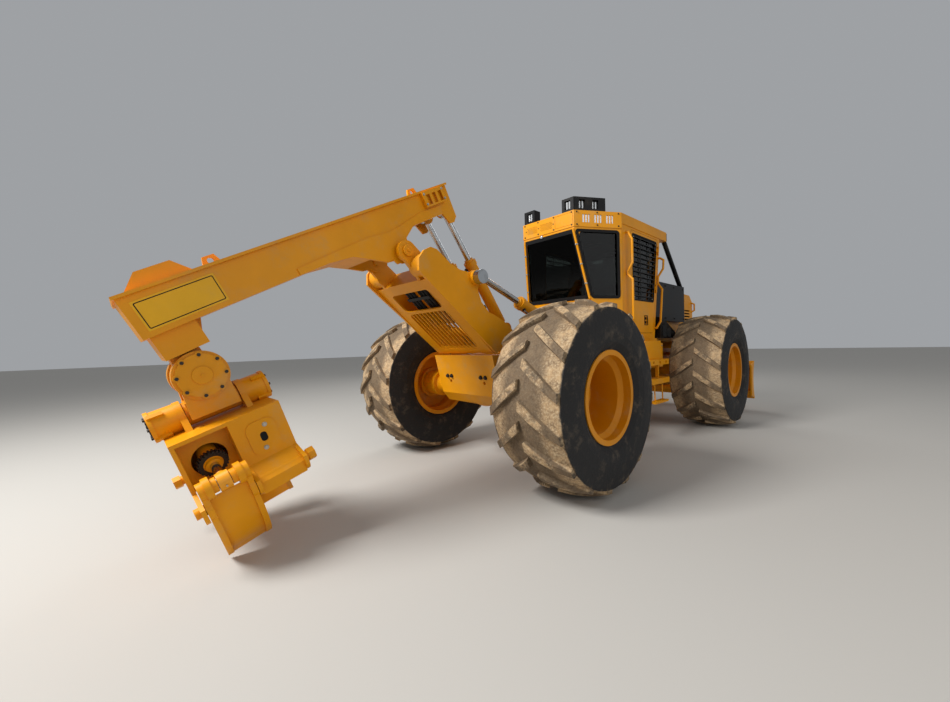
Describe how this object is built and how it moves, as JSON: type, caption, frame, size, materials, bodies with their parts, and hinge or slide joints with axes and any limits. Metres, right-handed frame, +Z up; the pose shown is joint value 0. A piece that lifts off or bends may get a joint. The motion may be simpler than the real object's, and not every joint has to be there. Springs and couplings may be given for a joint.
{
  "type": "articulated grapple skidder",
  "caption": "Articulated forestry skidder with a hinged arch, boom and rotating two-tong grapple, a faceted cab, a front blade and large lugged tyres.",
  "frame": {"origin": "on the ground, under the middle of the machine's bounding box", "axes": "+X forward, towards the blade; +Y to the machine's left; +Z up"},
  "size_m": [9.2574, 3.299, 3.4006],
  "materials": {
    "yellow": "satin",
    "black_paint": "satin",
    "tyre_rubber": "matte",
    "window_glass": "gloss",
    "rod_chrome": "polished",
    "seat_fabric": "matte",
    "engine_grey": "matte"
  },
  "bodies": {
    "front_frame": {"front_chassis": "yellow", "front_axle": "yellow", "engine_block": "engine_grey", "hood": "yellow", "cab_shell": "yellow", "roof_cap": "yellow", "roof_lamps": "black_paint", "cab_glass": "window_glass", "seat": "seat_fabric", "steps": "yellow", "handrails": "yellow", "limb_risers": "black_paint"},
    "rear_frame": {"rear_chassis": "yellow", "rear_axle": "yellow"},
    "arch": {"arch": "yellow"},
    "boom": {"boom": "yellow", "boom_hood": "yellow"},
    "rotator": {"rotator": "yellow"},
    "crosshead": {"crosshead": "yellow"},
    "grapple": {"grapple_head": "yellow"},
    "tong_right": {"tong_right": "yellow"},
    "tong_left": {"tong_left": "yellow"},
    "tong_barrel_right": {"tong_barrel_right": "yellow"},
    "tong_rod_right": {"tong_rod_right": "rod_chrome"},
    "steer_barrel_right": {"steer_barrel_right": "yellow"},
    "steer_rod_right": {"steer_rod_right": "rod_chrome"},
    "door_right": {"door_right": "yellow", "door_glass_right": "window_glass"},
    "wheel_rear_right": {"tyre_rear_right": "tyre_rubber", "rim_rear_right": "yellow"},
    "wheel_front_right": {"tyre_front_right": "tyre_rubber", "rim_front_right": "yellow"},
    "tong_barrel_left": {"tong_barrel_left": "yellow"},
    "tong_rod_left": {"tong_rod_left": "rod_chrome"},
    "steer_barrel_left": {"steer_barrel_left": "yellow"},
    "steer_rod_left": {"steer_rod_left": "rod_chrome"},
    "door_left": {"door_left": "yellow", "door_glass_left": "window_glass"},
    "wheel_rear_left": {"tyre_rear_left": "tyre_rubber", "rim_rear_left": "yellow"},
    "wheel_front_left": {"tyre_front_left": "tyre_rubber", "rim_front_left": "yellow"},
    "arch_barrels": {"arch_barrels": "yellow"},
    "arch_rods": {"arch_rods": "rod_chrome"},
    "boom_barrels": {"boom_barrels": "yellow"},
    "boom_rods": {"boom_rods": "rod_chrome"},
    "blade": {"blade": "yellow"},
    "blade_barrels": {"blade_barrels": "yellow"},
    "blade_rods": {"blade_rods": "rod_chrome"}
  },
  "joints": [
    {"name": "steer", "type": "hinge", "parent": "front_frame", "child": "rear_frame", "pos_m": [0.672, 0, 0.93], "axis": [0, 0, 1], "range_deg": [-45, 45]},
    {"name": "wheel_rear_right", "type": "hinge", "parent": "rear_frame", "child": "wheel_rear_right", "pos_m": [-1.348, -1.262, 0.915], "axis": [0, 1, 0], "continuous": true},
    {"name": "wheel_rear_left", "type": "hinge", "parent": "rear_frame", "child": "wheel_rear_left", "pos_m": [-1.348, 1.262, 0.915], "axis": [0, 1, 0], "continuous": true},
    {"name": "wheel_front_right", "type": "hinge", "parent": "front_frame", "child": "wheel_front_right", "pos_m": [2.697, -1.262, 0.915], "axis": [0, 1, 0], "continuous": true},
    {"name": "wheel_front_left", "type": "hinge", "parent": "front_frame", "child": "wheel_front_left", "pos_m": [2.697, 1.262, 0.915], "axis": [0, 1, 0], "continuous": true},
    {"name": "arch", "type": "hinge", "parent": "rear_frame", "child": "arch", "pos_m": [-1.408, 0, 1.45], "axis": [0, 1, 0], "range_deg": [-4, 46]},
    {"name": "boom", "type": "hinge", "parent": "arch", "child": "boom", "pos_m": [-2.64513, 0, 2.29602], "axis": [0, 1, 0], "range_deg": [-9, 30]},
    {"name": "arch_barrels", "type": "hinge", "parent": "rear_frame", "child": "arch_barrels", "pos_m": [-0.398, 0, 1.475], "axis": [0, 1, 0], "range_deg": [-1.74, 20]},
    {"name": "arch_rods", "type": "slide", "parent": "arch_barrels", "child": "arch_rods", "axis": [-0.9296, 0, 0.3685], "range_m": [-0.41262, 0.03588]},
    {"name": "boom_barrels", "type": "hinge", "parent": "arch", "child": "boom_barrels", "pos_m": [-1.20578, 0, 1.60976], "axis": [0, 1, 0], "range_deg": [-1.08, 0.32]},
    {"name": "boom_rods", "type": "slide", "parent": "boom_barrels", "child": "boom_rods", "axis": [-0.5819, 0, 0.8132], "range_m": [-0.4032, 0.12096]},
    {"name": "rotator", "type": "hinge", "parent": "boom", "child": "rotator", "pos_m": [-4.19173, 0, 1.26415], "axis": [-0.4695, 0, 0.8829], "continuous": true},
    {"name": "swing", "type": "hinge", "parent": "rotator", "child": "crosshead", "pos_m": [-4.19173, 0, 1.26415], "axis": [0, -1, 0], "range_deg": [-60, 60]},
    {"name": "sway", "type": "hinge", "parent": "crosshead", "child": "grapple", "pos_m": [-4.11522, 0, 1.04195], "axis": [0.9455, 0, 0.3256], "range_deg": [-18, 18]},
    {"name": "tong_right", "type": "hinge", "parent": "grapple", "child": "tong_right", "pos_m": [-3.94104, -0.43, 0.5361], "axis": [0.9455, 0, 0.3256], "range_deg": [-38, 42]},
    {"name": "tong_left", "type": "hinge", "parent": "grapple", "child": "tong_left", "pos_m": [-3.94104, 0.43, 0.5361], "axis": [-0.9455, 0, -0.3256], "range_deg": [-38, 42]},
    {"name": "tong_barrel_right", "type": "hinge", "parent": "grapple", "child": "tong_barrel_right", "pos_m": [-4.2116, 0.2, 0.83426], "axis": [0.9455, 0, 0.3256], "range_deg": [-1.28, 1.41]},
    {"name": "tong_rod_right", "type": "slide", "parent": "tong_barrel_right", "child": "tong_rod_right", "axis": [0.1016, -0.95, -0.2951], "range_m": [-0.09724, 0.10747]},
    {"name": "tong_barrel_left", "type": "hinge", "parent": "grapple", "child": "tong_barrel_left", "pos_m": [-3.9114, -0.2, 0.93763], "axis": [-0.9455, 0, -0.3256], "range_deg": [-1.28, 1.41]},
    {"name": "tong_rod_left", "type": "slide", "parent": "tong_barrel_left", "child": "tong_rod_left", "axis": [0.1016, 0.95, -0.2951], "range_m": [-0.09724, 0.10747]},
    {"name": "blade", "type": "hinge", "parent": "front_frame", "child": "blade", "pos_m": [3.387, 0, 0.64], "axis": [0, -1, 0], "range_deg": [-10, 26]},
    {"name": "blade_barrels", "type": "hinge", "parent": "front_frame", "child": "blade_barrels", "pos_m": [3.117, 0, 1.29], "axis": [0, -1, 0], "range_deg": [-6.8, 17.67]},
    {"name": "blade_rods", "type": "slide", "parent": "blade_barrels", "child": "blade_rods", "axis": [0.9457, 0, -0.3251], "range_m": [-0.25947, 0.0998]},
    {"name": "steer_barrel_right", "type": "hinge", "parent": "rear_frame", "child": "steer_barrel_right", "pos_m": [-0.278, -0.4, 0.93], "axis": [0, 0, 1], "range_deg": [-6.23, 6.23]},
    {"name": "steer_rod_right", "type": "slide", "parent": "steer_barrel_right", "child": "steer_rod_right", "axis": [0.9984, 0.0564, 0], "range_m": [-0.26061, 0.26061]},
    {"name": "steer_barrel_left", "type": "hinge", "parent": "rear_frame", "child": "steer_barrel_left", "pos_m": [-0.278, 0.4, 0.93], "axis": [0, 0, 1], "range_deg": [-6.23, 6.23]},
    {"name": "steer_rod_left", "type": "slide", "parent": "steer_barrel_left", "child": "steer_rod_left", "axis": [0.9984, -0.0564, 0], "range_m": [-0.26061, 0.26061]},
    {"name": "door_right", "type": "hinge", "parent": "front_frame", "child": "door_right", "pos_m": [1.70744, -0.806, 2.5], "axis": [0.1599, 0, 0.9871], "range_deg": [0, 80]},
    {"name": "door_left", "type": "hinge", "parent": "front_frame", "child": "door_left", "pos_m": [1.70744, 0.806, 2.5], "axis": [-0.1599, 0, -0.9871], "range_deg": [0, 80]}
  ],
  "couplings": [
    {"joint": "arch_barrels", "follows": "arch", "ratio": 0.43482},
    {"joint": "arch_rods", "follows": "arch", "m_per_rad": -0.51395},
    {"joint": "boom_barrels", "follows": "boom", "ratio": -0.03605},
    {"joint": "boom_rods", "follows": "boom", "m_per_rad": -0.77005},
    {"joint": "tong_left", "follows": "tong_right", "ratio": 1},
    {"joint": "tong_barrel_right", "follows": "tong_right", "ratio": 0.03359},
    {"joint": "tong_rod_right", "follows": "tong_right", "m_per_rad": 0.14662},
    {"joint": "tong_barrel_left", "follows": "tong_right", "ratio": 0.03359},
    {"joint": "tong_rod_left", "follows": "tong_right", "m_per_rad": 0.14662},
    {"joint": "blade_barrels", "follows": "blade", "ratio": 0.67978},
    {"joint": "blade_rods", "follows": "blade", "m_per_rad": -0.57179},
    {"joint": "steer_barrel_right", "follows": "steer", "ratio": -0.13847},
    {"joint": "steer_rod_right", "follows": "steer", "m_per_rad": -0.33182},
    {"joint": "steer_barrel_left", "follows": "steer", "ratio": -0.13847},
    {"joint": "steer_rod_left", "follows": "steer", "m_per_rad": 0.33182}
  ]
}
